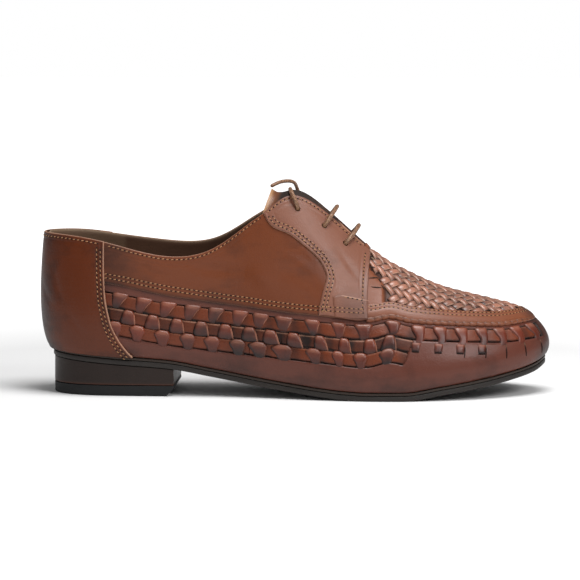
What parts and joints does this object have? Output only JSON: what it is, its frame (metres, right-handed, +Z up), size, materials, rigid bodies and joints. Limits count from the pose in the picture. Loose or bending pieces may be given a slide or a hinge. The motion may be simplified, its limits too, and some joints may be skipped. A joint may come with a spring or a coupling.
{
  "type": "shoe",
  "caption": "Open-laced leather shoe with woven sides and a woven plug inside a hand-sewn apron, low stacked heel and thin sole; right foot, empty.",
  "frame": {"origin": "on the floor, under the middle of the shoe's box", "axes": "+X towards the toe, +Y towards the inner side of the foot, +Z up"},
  "size_m": [0.2992, 0.0994, 0.1243],
  "materials": {
    "outsole_rubber": "dark brown rubber sole with a smooth trimmed edge",
    "rand_leather": "thin dark leather strip, waxed edge",
    "heel_leather": "stacked leather, dark waxed, a redder layer at its foot",
    "top_lift_rubber": "black rubber, dull",
    "insole_leather": "smooth dark lining leather",
    "woven_leather": "brown leather woven from cut tabs and strips, soft sheen",
    "counter_leather": "brown leather burnished darker at the back, polished",
    "quarter_leather": "smooth warm brown leather, polished",
    "facing_leather": "smooth brown leather with a rosy sheen",
    "tongue_leather": "brown leather with a dark lining",
    "lace_cord": "thin round waxed cord"
  },
  "bodies": {
    "root": {"outsole": "outsole_rubber", "rand": "rand_leather", "heel_stack": "heel_leather", "top_lift": "top_lift_rubber", "insole": "insole_leather", "upper": "woven_leather", "counter": "counter_leather", "quarter_outer": "quarter_leather", "quarter_inner": "quarter_leather", "facing_outer": "facing_leather", "facing_inner": "facing_leather", "tongue": "tongue_leather", "lace_bar_middle": "lace_cord", "lace_bar_lower": "lace_cord", "lace_tuck": "lace_cord", "lace_end": "lace_cord"}
  },
  "joints": []
}
